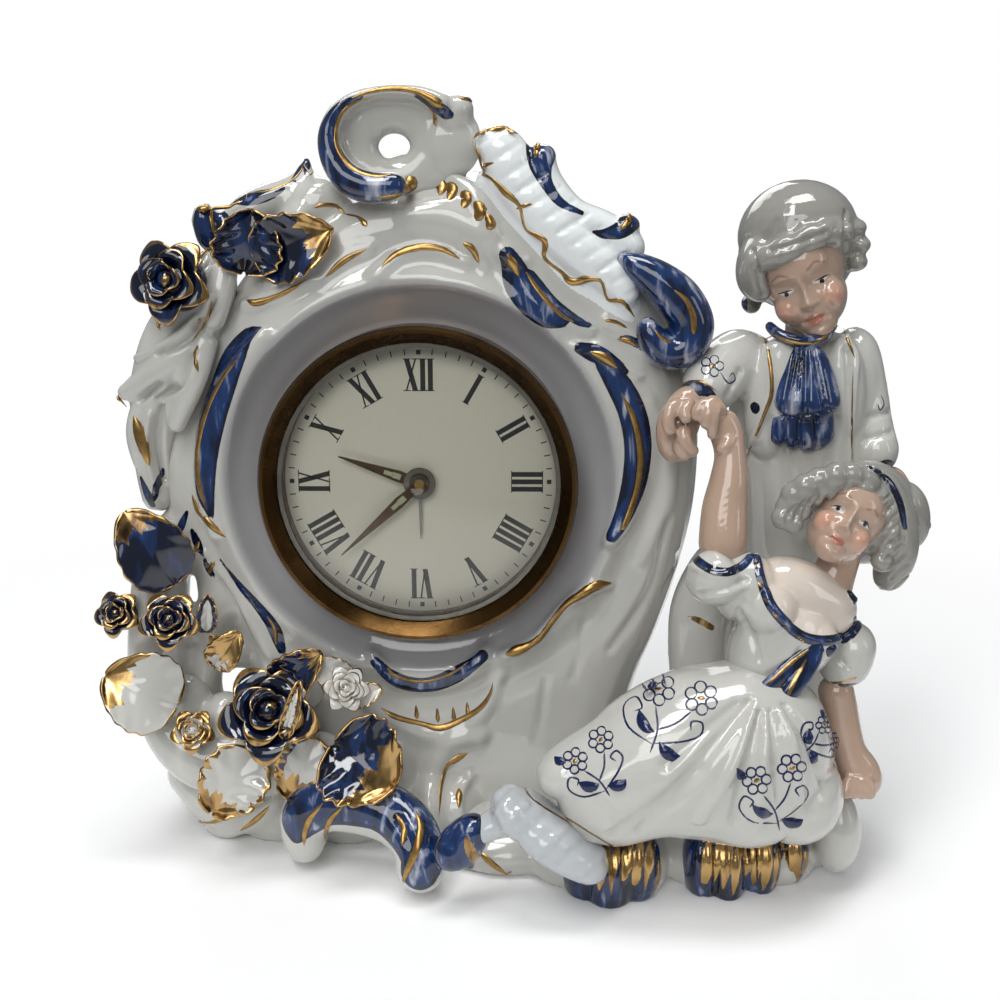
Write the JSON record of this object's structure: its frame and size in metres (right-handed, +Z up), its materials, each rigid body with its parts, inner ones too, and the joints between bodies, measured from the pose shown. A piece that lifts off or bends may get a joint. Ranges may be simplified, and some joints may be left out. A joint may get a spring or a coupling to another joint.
{
  "type": "figural clock",
  "caption": "Porcelain rococo clock case with a boy and a girl beside a round wind-up alarm clock in a brass bezel.",
  "frame": {"origin": "on the table under the hands' arbor, in the flat foot of the clock case", "axes": "+Z up, -Y out of the dial towards the viewer, +X to the viewer's right, where the figures are"},
  "size_m": [0.2249, 0.1016, 0.2068],
  "materials": {
    "white_porcelain": "glossy white glaze with cobalt blue and gold painting",
    "blue_porcelain": "glossy cobalt blue glaze with worn gold edges",
    "skin_porcelain": "satin pale skin glaze with painted features",
    "grey_porcelain": "glossy grey-white glaze",
    "old_brass": "brushed brass with brown patina",
    "movement_brass": "satin brass",
    "steel": "satin plated steel",
    "dial_paint": "satin silver-cream lacquer on sheet metal",
    "glass": "clear polished domed glass"
  },
  "bodies": {
    "case": {"porcelain_case": "white_porcelain", "figure_base": "white_porcelain", "crest_shell": "white_porcelain", "side_ribbon": "white_porcelain", "boy_coat": "white_porcelain", "girl_skirt": "white_porcelain", "girl_petticoat": "white_porcelain", "girl_bodice": "white_porcelain", "boy_leg": "white_porcelain", "rock_feet": "blue_porcelain", "girl_shoe": "blue_porcelain", "boy_cravat": "blue_porcelain", "crest_scroll": "blue_porcelain", "right_volute": "blue_porcelain", "foot_scroll": "blue_porcelain", "garland_leaves": "blue_porcelain", "large_rose": "blue_porcelain", "left_roses": "blue_porcelain", "side_leaf": "blue_porcelain", "upper_rose": "blue_porcelain", "rosebuds": "white_porcelain", "round_leaf": "white_porcelain", "girl_head": "skin_porcelain", "boy_head": "skin_porcelain", "girl_raised_arm": "white_porcelain", "girl_propping_arm": "white_porcelain", "boy_holding_arm": "white_porcelain", "boy_resting_arm": "white_porcelain", "boy_wig": "grey_porcelain", "girl_hair": "grey_porcelain", "bezel": "old_brass", "crystal": "glass", "dial": "dial_paint", "movement_can": "steel", "retaining_ring": "steel", "rear_cover": "steel", "time_mainspring": "steel", "alarm_mainspring": "steel", "front_plate": "movement_brass", "rear_plate": "movement_brass"},
    "minute_train": {"centre_arbor": "movement_brass", "minute_hand": "movement_brass"},
    "hour_train": {"hour_wheel": "movement_brass", "hour_hand": "movement_brass"},
    "time_set": {"minute_wheel": "movement_brass", "time_set_knob": "movement_brass"},
    "great": {"great_wheel": "movement_brass"},
    "third": {"third_wheel": "movement_brass"},
    "fourth": {"fourth_wheel": "movement_brass"},
    "escape": {"escape_wheel": "movement_brass"},
    "alarm_pointer": {"alarm_wheel": "movement_brass", "alarm_hand": "steel"},
    "alarm_set": {"alarm_set_knob": "movement_brass"},
    "time_key": {"time_winding_key": "steel"},
    "alarm_key": {"alarm_winding_key": "steel"},
    "pallets": {"pallet_lever": "steel"},
    "balance": {"balance_wheel": "movement_brass"},
    "hammer": {"alarm_hammer": "steel"},
    "stop": {"alarm_stop": "steel"},
    "regulator": {"regulator_lever": "movement_brass"}
  },
  "joints": [
    {"name": "minute_hand_turn", "type": "hinge", "parent": "case", "child": "minute_train", "pos_m": [0, 0, 0.104], "axis": [0, 1, 0], "continuous": true},
    {"name": "hour_hand_turn", "type": "hinge", "parent": "case", "child": "hour_train", "pos_m": [0, 0, 0.104], "axis": [0, 1, 0], "continuous": true},
    {"name": "time_set_turn", "type": "hinge", "parent": "case", "child": "time_set", "pos_m": [-0.00919, 0, 0.11171], "axis": [0, 1, 0], "continuous": true},
    {"name": "great_wheel_turn", "type": "hinge", "parent": "case", "child": "great", "pos_m": [-0.01559, 0, 0.095], "axis": [0, 1, 0], "continuous": true},
    {"name": "third_wheel_turn", "type": "hinge", "parent": "case", "child": "third", "pos_m": [0, 0, 0.11534], "axis": [0, 1, 0], "continuous": true},
    {"name": "fourth_wheel_turn", "type": "hinge", "parent": "case", "child": "fourth", "pos_m": [0, 0, 0.12452], "axis": [0, 1, 0], "continuous": true},
    {"name": "escape_wheel_turn", "type": "hinge", "parent": "case", "child": "escape", "pos_m": [0.00775, 0, 0.12734], "axis": [0, 1, 0], "continuous": true},
    {"name": "alarm_set_turn", "type": "hinge", "parent": "case", "child": "alarm_set", "pos_m": [0.00919, 0, 0.11171], "axis": [0, 1, 0], "continuous": true},
    {"name": "alarm_hand_turn", "type": "hinge", "parent": "case", "child": "alarm_pointer", "pos_m": [0, 0, 0.104], "axis": [0, 1, 0], "continuous": true},
    {"name": "time_key_wind", "type": "hinge", "parent": "case", "child": "time_key", "pos_m": [-0.01559, 0, 0.095], "axis": [0, -1, 0], "range_deg": [0, 1800]},
    {"name": "alarm_key_wind", "type": "hinge", "parent": "case", "child": "alarm_key", "pos_m": [0.01559, 0, 0.095], "axis": [0, -1, 0], "range_deg": [0, 1800]},
    {"name": "pallet_rock", "type": "hinge", "parent": "case", "child": "pallets", "pos_m": [0.01471, 0, 0.12481], "axis": [0, 1, 0], "range_deg": [-4, 4]},
    {"name": "balance_swing", "type": "hinge", "parent": "case", "child": "balance", "pos_m": [0.0225, 0, 0.12031], "axis": [0, 1, 0], "range_deg": [-150, 150], "stiffness_Nm_per_rad": 0.000007},
    {"name": "hammer_swing", "type": "hinge", "parent": "case", "child": "hammer", "pos_m": [-0.005, 0, 0.08], "axis": [0, 1, 0], "range_deg": [-4, 2]},
    {"name": "regulator_turn", "type": "hinge", "parent": "case", "child": "regulator", "pos_m": [0.0225, 0, 0.12031], "axis": [0, 1, 0], "range_deg": [-22, 22]},
    {"name": "alarm_stop_slide", "type": "slide", "parent": "case", "child": "stop", "axis": [0, 1, 0], "range_m": [0, 0.003]}
  ],
  "couplings": [
    {"joint": "hour_hand_turn", "follows": "minute_hand_turn", "ratio": 0.083333},
    {"joint": "time_set_turn", "follows": "minute_hand_turn", "ratio": -0.33333},
    {"joint": "great_wheel_turn", "follows": "minute_hand_turn", "ratio": -0.125},
    {"joint": "third_wheel_turn", "follows": "minute_hand_turn", "ratio": -8},
    {"joint": "fourth_wheel_turn", "follows": "minute_hand_turn", "ratio": 60},
    {"joint": "escape_wheel_turn", "follows": "minute_hand_turn", "ratio": -600},
    {"joint": "alarm_hand_turn", "follows": "alarm_set_turn", "ratio": -0.33333}
  ]
}
